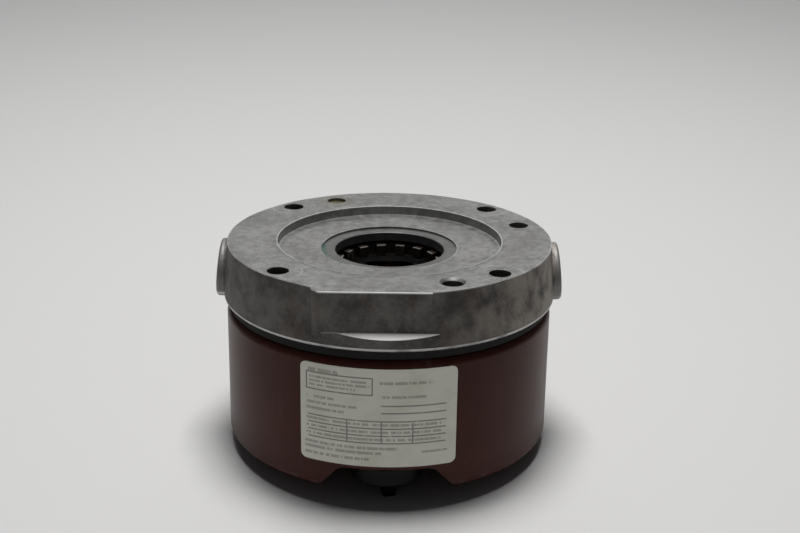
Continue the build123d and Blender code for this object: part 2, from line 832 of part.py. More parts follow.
bracket_screw_x = bracket_inner + bracket_thickness + bracket_screw_head + 1
bracket_screw_top = carrier_bottom_z - bracket_thickness
screw_rows = (coil_y - bracket_screw_rows / 2, coil_y + bracket_screw_rows / 2)
bracket_screw_spots = [(x, y) for x in (-bracket_screw_x, bracket_screw_x) for y in screw_rows]
with BuildPart() as bracket_screws:
    with BuildSketch(Plane.XY.offset(bracket_screw_top - bracket_screw_height)):
        with Locations(*bracket_screw_spots):
            Circle(bracket_screw_head)
    extrude(amount=bracket_screw_height)
    fillet(bracket_screws.edges().group_by(Axis.Z)[0], radius=0.9)
    with BuildSketch(Plane.XY.offset(bracket_screw_top - bracket_screw_height)):
        with Locations(*bracket_screw_spots):
            Rectangle(2 * bracket_screw_head + over, bracket_screw_slot)
    extrude(amount=bracket_screw_height / 2, mode=Mode.SUBTRACT)
save(bracket_screws, "bracket_screws")

# ---- manual release: knob, camshaft and bushing ----
knob_plane = Plane((0, knob_y, 0), x_dir=(1, 0, 0), z_dir=(0, -1, 0))
knob_axis = Axis((0, knob_y, 0), (0, 0, 1))
with BuildPart() as release_knob:
    with BuildSketch(knob_plane):
        with BuildLine():
            Polyline(
                (0, knob_top_z),
                (knob_radius - 0.6, knob_top_z),
                (knob_radius, knob_top_z - 0.6),
                (knob_radius, knob_skirt_z),
                (knob_radius - 1.6, knob_skirt_z - 1.6),
                (knob_face_radius, knob_face_z),
                (0, knob_face_z),
                close=True,
            )
        make_face()
    revolve(axis=knob_axis)
    with BuildSketch(Plane.XY.offset(knob_bar_z)):
        with Locations(Location((0, knob_y, 0), (0, 0, knob_bar_turn))):
            RectangleRounded(knob_bar_width, knob_bar_length, 1.5)
    extrude(amount=knob_face_z + 2 - knob_bar_z)
    with BuildSketch(Plane.XY.offset(knob_top_z)):
        with Locations((0, knob_y)):
            Circle(shaft_radius + 0.05)
    extrude(amount=shaft_end_z - 0.3 - knob_top_z, mode=Mode.SUBTRACT)
save(release_knob, "release_knob")

cam_lean = math.radians(cam_slope)
high_way = on_circle(1, cam_high_angle)
cam_normal = (
    -math.sin(cam_lean) * high_way[0],
    -math.sin(cam_lean) * high_way[1],
    math.cos(cam_lean),
)
with BuildPart() as release_camshaft:
    with BuildSketch(Plane.XY.offset(cam_top_z - 20)):
        with Locations((0, knob_y)):
            Circle(cam_radius)
    extrude(amount=20)
    split(bisect_by=Plane((0, knob_y, cam_mean_z), z_dir=cam_normal), keep=Keep.TOP)
    with BuildSketch(Plane.XY.offset(shaft_end_z)):
        with Locations((0, knob_y)):
            Circle(shaft_radius)
    extrude(amount=shaft_top_z - shaft_end_z)
save(release_camshaft, "release_camshaft")

pocket_roof_z = pocket_floor_z + housing_wall
with BuildPart() as shaft_bushing:
    with BuildSketch(Plane.XY.offset(pocket_floor_z - 0.6)):
        with Locations((0, knob_y)):
            Circle(bushing_radius)
    extrude(amount=pocket_roof_z - pocket_floor_z + 0.6)
    with BuildSketch(Plane.XY.offset(pocket_roof_z)):
        with Locations((0, knob_y)):
            Circle(bushing_flange_radius)
    extrude(amount=bushing_flange)
    with BuildSketch(Plane.XY.offset(pocket_floor_z - 1)):
        with Locations((0, knob_y)):
            Circle(shaft_radius + shaft_fit)
    extrude(amount=6, mode=Mode.SUBTRACT)
save(shaft_bushing, "shaft_bushing")
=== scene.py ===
import json
import math

import bpy
from mathutils import Matrix, Vector


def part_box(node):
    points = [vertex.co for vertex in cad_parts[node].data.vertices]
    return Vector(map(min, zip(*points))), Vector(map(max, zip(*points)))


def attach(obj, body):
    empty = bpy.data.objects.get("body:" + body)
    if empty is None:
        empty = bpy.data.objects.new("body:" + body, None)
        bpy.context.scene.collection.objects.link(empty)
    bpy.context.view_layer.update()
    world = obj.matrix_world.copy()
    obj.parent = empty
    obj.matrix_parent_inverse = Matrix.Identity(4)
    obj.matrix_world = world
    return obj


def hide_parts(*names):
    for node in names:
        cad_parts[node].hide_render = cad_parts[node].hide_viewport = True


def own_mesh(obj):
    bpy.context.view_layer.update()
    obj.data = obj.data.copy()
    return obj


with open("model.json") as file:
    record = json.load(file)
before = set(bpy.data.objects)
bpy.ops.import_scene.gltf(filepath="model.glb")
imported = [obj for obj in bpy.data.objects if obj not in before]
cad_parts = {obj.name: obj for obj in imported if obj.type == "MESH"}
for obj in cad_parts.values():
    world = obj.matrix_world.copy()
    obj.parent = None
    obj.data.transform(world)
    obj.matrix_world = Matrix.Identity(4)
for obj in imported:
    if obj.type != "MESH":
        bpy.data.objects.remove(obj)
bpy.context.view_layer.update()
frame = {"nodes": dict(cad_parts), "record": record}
mm = 0.001


def deselectAll():
    if bpy.context.object and bpy.context.object.mode != "OBJECT":
        bpy.ops.object.mode_set(mode="OBJECT")
    bpy.ops.object.select_all(action="DESELECT")


def takeUp(piece):
    deselectAll()
    piece.select_set(True)
    bpy.context.view_layer.objects.active = piece


def addNode(tree, kind, inputs=None, **settings):
    node = tree.nodes.new(kind)
    for name, value in settings.items():
        setattr(node, name, value)
    for name, value in (inputs or {}).items():
        if isinstance(value, bpy.types.NodeSocket):
            tree.links.new(value, node.inputs[name])
        else:
            node.inputs[name].default_value = value
    return node


def newMaterial(name, **finish):
    material = bpy.data.materials.new(name)
    material.use_nodes = True
    shader = material.node_tree.nodes["Principled BSDF"]
    for socket, value in finish.items():
        shader.inputs[socket].default_value = value
    return material, material.node_tree, shader


def colour(rgb):
    return (rgb[0], rgb[1], rgb[2], 1.0)


def placeOf(tree):
    return tree.nodes.new("ShaderNodeTexCoord").outputs["Object"]


def calc(tree, operation, a, b=0.0, c=0.0):
    node = addNode(tree, "ShaderNodeMath", {0: a, 1: b, 2: c}, operation=operation)
    return node.outputs[0]


def fade(tree, value, low, high):
    # 0 below low and 1 above high; swapped limits turn it round
    turned = low > high
    node = addNode(
        tree,
        "ShaderNodeMapRange",
        {"Value": value, "From Min": min(low, high), "From Max": max(low, high)},
        interpolation_type="SMOOTHSTEP",
    )
    return calc(tree, "SUBTRACT", 1.0, node.outputs["Result"]) if turned else node.outputs["Result"]


def band(tree, value, middle, half, soft):
    away = calc(tree, "ABSOLUTE", calc(tree, "SUBTRACT", value, middle))
    return fade(tree, away, half + soft, half)


def noise(tree, vector, scale, detail=3.0, roughness=0.55):
    settings = {"Vector": vector, "Scale": scale, "Detail": detail, "Roughness": roughness}
    return addNode(tree, "ShaderNodeTexNoise", settings).outputs["Fac"]


def blendColour(tree, share, first, second):
    node = addNode(tree, "ShaderNodeMix", {0: share}, data_type="RGBA")
    for index, value in ((6, first), (7, second)):
        if isinstance(value, bpy.types.NodeSocket):
            tree.links.new(value, node.inputs[index])
        else:
            node.inputs[index].default_value = colour(value)
    return node.outputs[2]


def blendNumber(tree, share, first, second):
    node = addNode(tree, "ShaderNodeMix", {0: share, 2: first, 3: second}, data_type="FLOAT")
    return node.outputs[0]


def ringPlace(tree, place):
    # radius from the shaft axis, and the place split into its three sides
    flat = addNode(tree, "ShaderNodeVectorMath", {0: place, 1: (1, 1, 0)}, operation="MULTIPLY")
    length = addNode(tree, "ShaderNodeVectorMath", {0: flat.outputs[0]}, operation="LENGTH")
    sides = addNode(tree, "ShaderNodeSeparateXYZ", {0: place})
    return length.outputs["Value"], sides.outputs


def distanceTo(tree, place, spot):
    node = addNode(tree, "ShaderNodeVectorMath", {0: place, 1: spot}, operation="DISTANCE")
    return node.outputs["Value"]


def stretched(tree, place, scale, shift=(0, 0, 0), turn=(0, 0, 0)):
    settings = {"Vector": place, "Scale": scale, "Location": shift, "Rotation": turn}
    return addNode(tree, "ShaderNodeMapping", settings).outputs[0]


def addBump(tree, shader, height, strength, depth):
    node = addNode(tree, "ShaderNodeBump", {"Height": height, "Strength": strength, "Distance": depth})
    tree.links.new(node.outputs["Normal"], shader.inputs["Normal"])


def useColour(tree, shader, value):
    tree.links.new(value, shader.inputs["Base Color"])


def useRoughness(tree, shader, value):
    tree.links.new(value, shader.inputs["Roughness"])


# cast aluminium, machined on the mounting face, with old stains; places are in metres
plateSet = {
    "faceRadius": 0.0825,
    "padFace": -0.081,
    "castRadius": 0.0786,
    "lipHeight": -0.028,
    "ledgeHigh": -0.020,
    "ledgeLow": -0.022,
    "lipFront": -0.0846,
    "bossSide": 0.0828,
    "boltPlace": 0.07461 / math.sqrt(2),
    "holeRadius": 0.0052,
    "spotRadius": 0.0115,
    "recessRadius": 0.0572,
    "stepRadius": 0.0344,
    "boreRadius": 0.0278,
    "plugPlace": (-0.02974, 0.06557, 0.0),
    "studPlace": (0.06787, 0.02403, 0.0),
    "openPlace": (0.02974, -0.06557, 0.0),
    "machinedLight": (0.305, 0.303, 0.297),
    "machinedDark": (0.180, 0.178, 0.172),
    "spotLight": (0.42, 0.42, 0.41),
    "stepGrey": (0.088, 0.086, 0.084),
    "holeShadeGrey": (0.110, 0.106, 0.100),
    "boreShadeGrey": (0.095, 0.095, 0.105),
    "castLight": (0.165, 0.155, 0.144),
    "castDark": (0.056, 0.051, 0.047),
    "castScuffAndSideLight": (0.360, 0.325, 0.280),
    "nickPale": (0.45, 0.42, 0.38),
    "bossGrey": (0.24, 0.237, 0.232),
    "rustBrown": (0.105, 0.062, 0.040),
    "oilBeige": (0.17, 0.155, 0.105),
    "sealGreen": (0.060, 0.120, 0.098),
    "edgeHighlight": (0.72, 0.72, 0.71),
    "edgeHighlightWhite": (0.95, 0.95, 0.94),
}


def makeEndplateMetal():
    look = plateSet
    material, tree, shader = newMaterial("castAluminium")
    place = placeOf(tree)
    radius, side = ringPlace(tree, place)
    height = side[2]

    def both(a, b):
        return calc(tree, "MULTIPLY", a, b)

    def either(a, b):
        return calc(tree, "MAXIMUM", a, b)

    def tint(base, share, amount, rgb):
        return blendColour(tree, both(share, amount), base, rgb)

    onFace = fade(tree, height, -0.0007, -0.0002)
    inside = fade(tree, radius, look["castRadius"] + 0.0004, look["castRadius"])
    lipTop = band(tree, height, look["lipHeight"] + 0.0005, 0.0007, 0.0004)
    lipEdge = both(lipTop, fade(tree, radius, 0.083, 0.0835))
    machined = either(either(onFace, inside), lipEdge)

    # turning marks run round the axis, finer than the mottling
    feed = addNode(tree, "ShaderNodeCombineXYZ", {"X": radius, "Y": height})
    rings = noise(tree, feed.outputs[0], 1300.0, 4.0, 0.7)
    blotch = noise(tree, place, 34.0, 5.0, 0.6)
    mottle = noise(tree, place, 210.0, 5.0, 0.68)
    grain = noise(tree, place, 620.0, 4.0, 0.62)
    cloud = noise(tree, place, 11.0, 2.0, 0.5)
    tone = calc(tree, "MULTIPLY_ADD", mottle, 0.55, both(blotch, 0.35))
    tone = calc(tree, "MULTIPLY_ADD", rings, 0.12, tone)
    tone = calc(tree, "MULTIPLY_ADD", grain, 0.18, tone)
    bright = blendColour(tree, fade(tree, tone, 0.50, 0.70), look["machinedDark"], look["machinedLight"])
    streak = stretched(tree, place, (60, 420, 420), turn=(0, 0, 0.6))
    bright = tint(bright, fade(tree, noise(tree, streak, 1.0, 3.0, 0.6), 0.60, 0.72), 0.20, look["spotLight"])
    bright = tint(bright, fade(tree, cloud, 0.50, 0.72), 0.18, look["stepGrey"])

    # pale corrosion specks gather round the bolt holes, with a broken ring from the spot facer
    corner = addNode(tree, "ShaderNodeVectorMath", {0: place}, operation="ABSOLUTE")
    flat = addNode(tree, "ShaderNodeVectorMath", {0: place, 1: (1, 1, 0)}, operation="MULTIPLY")
    flatCorner = addNode(tree, "ShaderNodeVectorMath", {0: flat.outputs[0]}, operation="ABSOLUTE")
    fromBolt = distanceTo(tree, corner.outputs[0], (look["boltPlace"], look["boltPlace"], 0))
    broken = fade(tree, blotch, 0.46, 0.60)
    near = fade(tree, fromBolt, 0.024, 0.008)
    speck = both(fade(tree, grain, 0.56, 0.68), calc(tree, "MULTIPLY_ADD", near, 0.70, 0.30))
    bright = tint(bright, both(speck, onFace), 0.75, look["spotLight"])
    spotRing = band(tree, fromBolt, look["spotRadius"], 0.00035, 0.0005)
    spotRing = both(spotRing, calc(tree, "MULTIPLY_ADD", broken, 0.6, 0.4))
    bright = tint(bright, both(spotRing, onFace), 0.55, look["spotLight"])

    # painted highlights on the turned corners: the recess rim, the recess floor's edge and the bore step
    onFloor = fade(tree, height, -0.0050, -0.0047)
    rim = band(tree, radius, look["recessRadius"] + 0.0001, 0.0002, 0.0003)
    rim = both(rim, fade(tree, height, -0.0010, -0.0005))
    floorEdge = both(band(tree, radius, look["recessRadius"] - 0.0007, 0.0003, 0.0005), both(onFloor, 0.7))
    stepEdge = both(band(tree, radius, look["stepRadius"] + 0.0002, 0.0002, 0.0003), onFloor)
    # painted highlight on these three edges
    bright = tint(bright, either(either(rim, floorEdge), stepEdge), 0.50, look["edgeHighlight"])

    # the bore step is tinted a darker grey; painted shade down the bore and inside the holes
    step = fade(tree, radius, look["stepRadius"] + 0.0002, look["stepRadius"] - 0.0002)
    bright = tint(bright, step, 0.60, look["stepGrey"])
    # painted shade down the bore wall
    bore = fade(tree, radius, look["boreRadius"] + 0.0006, look["boreRadius"] + 0.0002)
    bore = both(bore, fade(tree, height, -0.0060, -0.0066))
    holes = distanceTo(tree, flatCorner.outputs[0], (look["boltPlace"], look["boltPlace"], 0))
    for spot in ("plugPlace", "studPlace", "openPlace"):
        holes = calc(tree, "MINIMUM", holes, distanceTo(tree, flat.outputs[0], look[spot]))
    # painted shade inside the holes
    holeShade = fade(tree, holes, look["holeRadius"] + 0.0005, look["holeRadius"] + 0.0003)
    holeShade = both(holeShade, fade(tree, height, -0.0003, -0.0014))
    bright = tint(bright, bore, 0.55, look["boreShadeGrey"])

    # old oil round the plated screw end, and green sealant left on the bore step
    oilReach = calc(tree, "MULTIPLY_ADD", mottle, 0.006, distanceTo(tree, place, look["plugPlace"]))
    bright = tint(bright, fade(tree, oilReach, 0.0145, 0.0080), 0.50, look["oilBeige"])
    turn = calc(tree, "ARCTAN2", side[1], both(side[0], -1.0))
    sealArc = band(tree, turn, -0.40, 0.45, 0.20)
    sealRing = band(tree, radius, look["stepRadius"] - 0.0005, 0.0010, 0.0005)
    smear = both(both(sealArc, sealRing), fade(tree, mottle, 0.28, 0.46))
    bright = tint(bright, smear, 0.90, look["sealGreen"])

    # the cast wall is darker and cloudy, with brown patches, more of them on the right; its pale scuffs also
    # sit mostly on the right, partly real scuffing and partly painted light that makes that side lighter
    cloudy = noise(tree, place, 62.0, 6.0, 0.62)
    speckled = calc(tree, "MULTIPLY_ADD", mottle, 0.22, both(cloudy, 0.62))
    speckled = calc(tree, "MULTIPLY_ADD", grain, 0.16, speckled)
    rightward = fade(tree, side[0], 0.02, 0.075)
    rough = blendColour(tree, fade(tree, speckled, 0.38, 0.62), look["castDark"], look["castLight"])
    # pale scuffs weighted to the right: partly scuffing, partly painted light on that side
    scuffAndSideLight = both(fade(tree, cloudy, 0.30, 0.62), calc(tree, "MULTIPLY_ADD", rightward, 0.90, 0.08))
    rough = tint(rough, scuffAndSideLight, 0.85, look["castScuffAndSideLight"])
    runs = stretched(tree, place, (70, 70, 20), shift=(3, 0, 0))
    rust = fade(tree, noise(tree, runs, 1.0, 5.0, 0.62), 0.50, 0.68)
    rough = tint(rough, both(rust, calc(tree, "MULTIPLY_ADD", rightward, 0.25, 0.45)), 1.0, look["rustBrown"])
    nicks = stretched(tree, place, (900, 900, 130), turn=(0.25, 0.15, 0))
    nick = fade(tree, noise(tree, nicks, 1.0, 1.0, 0.4), 0.76, 0.80)
    rough = tint(rough, nick, 0.35, look["nickPale"])

    # painted highlight along the sloped ledge under the front flat
    slope = (look["ledgeLow"] - look["ledgeHigh"]) / (look["lipFront"] - look["padFace"])
    fromPad = calc(tree, "SUBTRACT", side[1], look["padFace"])
    slopeHeight = calc(tree, "MULTIPLY_ADD", fromPad, slope, look["ledgeHigh"])
    onSlope = band(tree, calc(tree, "SUBTRACT", height, slopeHeight), 0.0, 0.00012, 0.0001)
    ledge = both(onSlope, fade(tree, side[1], look["padFace"] + 0.0001, look["padFace"] - 0.0001))
    # painted highlight on the ledge
    rough = tint(rough, ledge, 0.80, look["edgeHighlight"])
    sideways = calc(tree, "ABSOLUTE", side[0])
    boss = fade(tree, sideways, look["bossSide"] + 0.0006, look["bossSide"] + 0.0012)
    rough = tint(rough, boss, 0.72, look["bossGrey"])

    # painted white highlight along the front flat's top edge; the rest of the rim gets a broken highlight
    # only in places, partly wear and partly painted highlight
    onTop = fade(tree, height, -0.0009, -0.0003)
    frontEdge = both(fade(tree, side[1], look["padFace"] + 0.0009, look["padFace"] + 0.0004), onTop)
    roundEdge = both(band(tree, radius, look["faceRadius"] - 0.0002, 0.0002, 0.0002), both(broken, 0.45))
    worn = both(roundEdge, onTop)
    full = blendColour(tree, machined, rough, bright)
    # painted shade in the holes
    full = tint(full, holeShade, 0.60, look["holeShadeGrey"])
    # painted highlight, partly wear, on the rounded rim edge and the lip's edge
    full = tint(full, either(worn, both(lipEdge, fade(tree, blotch, 0.36, 0.52))), 0.75, look["edgeHighlight"])
    # painted white highlight on the front flat's top edge
    full = tint(full, frontEdge, 0.95, look["edgeHighlightWhite"])
    useColour(tree, shader, full)

    smooth = either(machined, both(boss, 0.45))
    tree.links.new(blendNumber(tree, smooth, 0.30, 0.68), shader.inputs["Metallic"])
    worked = calc(tree, "MULTIPLY_ADD", rings, 0.14, calc(tree, "MULTIPLY_ADD", mottle, 0.24, 0.27))
    useRoughness(tree, shader, blendNumber(tree, smooth, 0.64, worked))
    casting = calc(tree, "MULTIPLY_ADD", blotch, 0.6, grain)
    turned = calc(tree, "MULTIPLY_ADD", mottle, 0.16, both(rings, 0.16))
    addBump(tree, shader, blendNumber(tree, machined, casting, turned), 0.55, 0.00028)
    return material


# semi-gloss maroon paint over drawn steel
paintSet = {
    "deep": (0.054, 0.0140, 0.0092),
    "faded": (0.080, 0.024, 0.017),
    "dust": (0.20, 0.17, 0.15),
    "rubHigh": -0.0965,
    "rubLow": -0.1005,
}


def makeMaroonPaint():
    look = paintSet
    material, tree, shader = newMaterial("maroonPaint", IOR=1.24)
    place = placeOf(tree)
    radius, side = ringPlace(tree, place)
    wide = noise(tree, place, 16.0, 4.0, 0.6)
    fine = noise(tree, place, 700.0, 3.0, 0.5)
    base = blendColour(tree, fade(tree, wide, 0.34, 0.70), look["deep"], look["faded"])
    lines = stretched(tree, place, (55, 55, 9))
    wiped = fade(tree, noise(tree, lines, 1.0, 4.0, 0.6), 0.58, 0.76)
    base = blendColour(tree, calc(tree, "MULTIPLY", wiped, 0.30), base, look["dust"])
    speck = fade(tree, noise(tree, place, 900.0, 2.0, 0.5), 0.70, 0.76)
    base = blendColour(tree, calc(tree, "MULTIPLY", speck, 0.40), base, look["dust"])
    rubAndSheen = fade(tree, noise(tree, place, 150.0, 4.0, 0.6), 0.50, 0.68)
    lowRub = calc(tree, "MULTIPLY", fade(tree, side[2], look["rubHigh"], look["rubLow"]), rubAndSheen)
    base = blendColour(tree, calc(tree, "MULTIPLY", lowRub, 0.35), base, look["dust"])
    useColour(tree, shader, base)
    gloss = calc(tree, "MULTIPLY_ADD", wide, 0.16, calc(tree, "MULTIPLY_ADD", wiped, 0.12, 0.27))
    useRoughness(tree, shader, gloss)
    addBump(tree, shader, fine, 0.12, 0.00012)
    return material


# blank cream label with printed rules and no lettering; a bar is its level, thickness, start and end
labelSet = {
    "film": (0.86, 0.855, 0.755),
    "aged": (0.78, 0.77, 0.655),
    "ink": (0.10, 0.095, 0.09),
    "ruleWidth": 0.00022,
    "bars": (
        (0.930, 3.0, 0.05, 0.24),
        (0.860, 1.7, 0.06, 0.42),
        (0.820, 1.7, 0.06, 0.44),
        (0.780, 1.7, 0.06, 0.36),
        (0.660, 2.0, 0.04, 0.22),
        (0.600, 2.0, 0.04, 0.36),
        (0.540, 2.0, 0.04, 0.28),
        (0.435, 2.0, 0.04, 0.90),
        (0.358, 2.0, 0.04, 0.90),
        (0.282, 2.0, 0.04, 0.90),
        (0.190, 2.2, 0.03, 0.62),
        (0.140, 2.2, 0.03, 0.52),
        (0.075, 2.2, 0.03, 0.44),
        (0.860, 2.2, 0.50, 0.86),
        (0.720, 2.0, 0.52, 0.80),
        (0.150, 1.7, 0.78, 0.94),
    ),
}


def makeLabelFilm():
    look = labelSet
    material, tree, shader = newMaterial("labelFilm", IOR=1.45)
    place = placeOf(tree)
    side = addNode(tree, "ShaderNodeSeparateXYZ", {0: place}).outputs
    low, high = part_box("nameplate")
    wide, tall = high.x - low.x, high.z - low.z
    across = calc(tree, "DIVIDE", calc(tree, "SUBTRACT", side[0], low.x), wide)
    upward = calc(tree, "DIVIDE", calc(tree, "SUBTRACT", side[2], low.z), tall)
    half = look["ruleWidth"]

    def rule(value, at, span, start, stop, along):
        line = band(tree, value, at, half / span, half / span)
        begun = fade(tree, along, start - 0.004, start)
        reach = calc(tree, "MULTIPLY", begun, fade(tree, along, stop + 0.004, stop))
        return calc(tree, "MULTIPLY", line, reach)

    rules = [rule(upward, level, tall, 0.04, 0.46, across) for level in (0.735, 0.905)]
    rules += [rule(across, edge, wide, 0.735, 0.905, upward) for edge in (0.04, 0.46)]
    rules += [rule(upward, level, tall, 0.52, 0.93, across) for level in (0.63, 0.555)]
    rules += [rule(upward, level, tall, 0.05, 0.93, across) for level in (0.47, 0.395, 0.32, 0.245)]
    rules += [rule(across, edge, wide, 0.245, 0.47, upward) for edge in (0.30, 0.52, 0.72)]
    ink = rules[0]
    for line in rules[1:]:
        ink = calc(tree, "MAXIMUM", ink, line)
    # rows of short grey bars stand where a maker prints details; they hold no letters
    for level, thick, start, stop in look["bars"]:
        steps = calc(tree, "MULTIPLY", across, 55.0)
        grains = addNode(tree, "ShaderNodeCombineXYZ", {"X": steps, "Y": level * 90.0})
        words = fade(tree, noise(tree, grains.outputs[0], 1.0, 2.0, 0.6), 0.40, 0.46)
        line = calc(tree, "MULTIPLY", rule(upward, level, tall / thick, start, stop, across), words)
        ink = calc(tree, "MAXIMUM", ink, calc(tree, "MULTIPLY", line, 0.62))
    worn = fade(tree, noise(tree, place, 240.0, 3.0, 0.6), 0.22, 0.40)
    cloud = noise(tree, place, 60.0, 4.0, 0.6)
    film = blendColour(tree, fade(tree, cloud, 0.42, 0.72), look["film"], look["aged"])
    grime = fade(tree, noise(tree, place, 420.0, 3.0, 0.6), 0.64, 0.74)
    film = blendColour(tree, calc(tree, "MULTIPLY", grime, 0.30), film, (0.30, 0.27, 0.20))
    faded = calc(tree, "MULTIPLY", ink, worn)
    film = blendColour(tree, calc(tree, "MULTIPLY", faded, 0.75), film, look["ink"])
    useColour(tree, shader, film)
    useRoughness(tree, shader, calc(tree, "MULTIPLY_ADD", cloud, 0.18, 0.34))
    addBump(tree, shader, noise(tree, place, 500.0, 2.0, 0.5), 0.08, 0.00008)
    return material


# one plain way to mottle a finish: two colours, a scale, and a bump
def makeMottled(name, first, second, scale, roughness, bump, depth, grime=None, **finish):
    material, tree, shader = newMaterial(name, **finish)
    place = placeOf(tree)
    wide = noise(tree, place, scale, 4.0, 0.6)
    fine = noise(tree, place, scale * 9.0, 3.0, 0.55)
    base = blendColour(tree, fade(tree, wide, 0.35, 0.68), first, second)
    if grime:
        patch = fade(tree, noise(tree, place, scale * 2.3, 5.0, 0.65), 0.54, 0.72)
        base = blendColour(tree, calc(tree, "MULTIPLY", patch, 0.6), base, grime)
    useColour(tree, shader, base)
    useRoughness(tree, shader, calc(tree, "MULTIPLY_ADD", wide, 0.22, roughness - 0.11))
    addBump(tree, shader, fine, bump, depth)
    return material


# steel with tool marks that run round the shaft axis
def makeTurned(name, first, second, roughness, grime, **finish):
    material, tree, shader = newMaterial(name, **finish)
    place = placeOf(tree)
    radius, side = ringPlace(tree, place)
    feed = addNode(tree, "ShaderNodeCombineXYZ", {"X": radius, "Y": side[2]})
    rings = noise(tree, feed.outputs[0], 1500.0, 3.0, 0.7)
    wide = noise(tree, place, 60.0, 4.0, 0.6)
    base = blendColour(tree, fade(tree, rings, 0.35, 0.66), first, second)
    dirt = fade(tree, wide, 0.50, 0.74)
    base = blendColour(tree, calc(tree, "MULTIPLY", dirt, 0.6), base, grime)
    useColour(tree, shader, base)
    dull = calc(tree, "MULTIPLY_ADD", dirt, 0.2, roughness - 0.1)
    useRoughness(tree, shader, calc(tree, "MULTIPLY_ADD", rings, 0.2, dull))
    addBump(tree, shader, rings, 0.25, 0.00008)
    return material


# the friction disc's splined ring: very dark, with a painted highlight on its teeth at the top inner edge and
# on the teeth toward -X
def makeDiscSteel():
    material, tree, shader = newMaterial("discSteel", Metallic=0.75)
    place = placeOf(tree)
    radius, side = ringPlace(tree, place)
    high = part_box("disc_core")[1]
    wide = noise(tree, place, 120.0, 4.0, 0.62)
    base = blendColour(tree, fade(tree, wide, 0.36, 0.66), (0.022, 0.016, 0.012), (0.070, 0.050, 0.040))
    onTeeth = fade(tree, radius, 0.0256, 0.0252)
    edge = calc(tree, "MULTIPLY", fade(tree, side[2], high.z - 0.0005, high.z - 0.0002), onTeeth)
    flank = calc(tree, "MULTIPLY", fade(tree, side[0], -0.0150, -0.0200), onTeeth)
    # painted highlight on the teeth's top edge and on the teeth toward -X
    rubAndSheen = calc(tree, "MULTIPLY", calc(tree, "MAXIMUM", edge, flank), fade(tree, wide, 0.36, 0.54))
    base = blendColour(tree, rubAndSheen, base, (0.62, 0.60, 0.57))
    useColour(tree, shader, base)
    useRoughness(tree, shader, blendNumber(tree, rubAndSheen, 0.55, 0.30))
    addBump(tree, shader, noise(tree, place, 900.0, 3.0, 0.6), 0.3, 0.0001)
    return material


# moulded friction material with brass and grit flecks
def makeLining():
    material, tree, shader = newMaterial("frictionLining")
    place = placeOf(tree)
    wide = noise(tree, place, 90.0, 5.0, 0.65)
    base = blendColour(tree, fade(tree, wide, 0.34, 0.68), (0.045, 0.034, 0.028), (0.095, 0.070, 0.052))
    cells = addNode(tree, "ShaderNodeTexVoronoi", {"Vector": place, "Scale": 900.0})
    fleck = fade(tree, cells.outputs["Distance"], 0.22, 0.14)
    base = blendColour(tree, calc(tree, "MULTIPLY", fleck, 0.7), base, (0.42, 0.29, 0.12))
    useColour(tree, shader, base)
    useRoughness(tree, shader, calc(tree, "MULTIPLY_ADD", wide, 0.2, 0.62))
    addBump(tree, shader, noise(tree, place, 800.0, 4.0, 0.6), 0.4, 0.0002)
    return material


# stacked laminations show as fine lines along the stack
def makeLaminations():
    material, tree, shader = newMaterial("laminatedSteel", Metallic=0.7)
    place = placeOf(tree)
    sides = addNode(tree, "ShaderNodeSeparateXYZ", {0: place})
    stack = calc(tree, "PINGPONG", sides.outputs[1], 0.00032)
    seam = fade(tree, stack, 0.00008, 0.00002)
    wide = noise(tree, place, 70.0, 4.0, 0.6)
    base = blendColour(tree, fade(tree, wide, 0.36, 0.66), (0.10, 0.10, 0.105), (0.19, 0.185, 0.18))
    base = blendColour(tree, calc(tree, "MULTIPLY", seam, 0.75), base, (0.03, 0.026, 0.022))
    useColour(tree, shader, base)
    useRoughness(tree, shader, calc(tree, "MULTIPLY_ADD", wide, 0.25, 0.36))
    addBump(tree, shader, calc(tree, "SUBTRACT", 1.0, seam), 0.6, 0.00012)
    return material


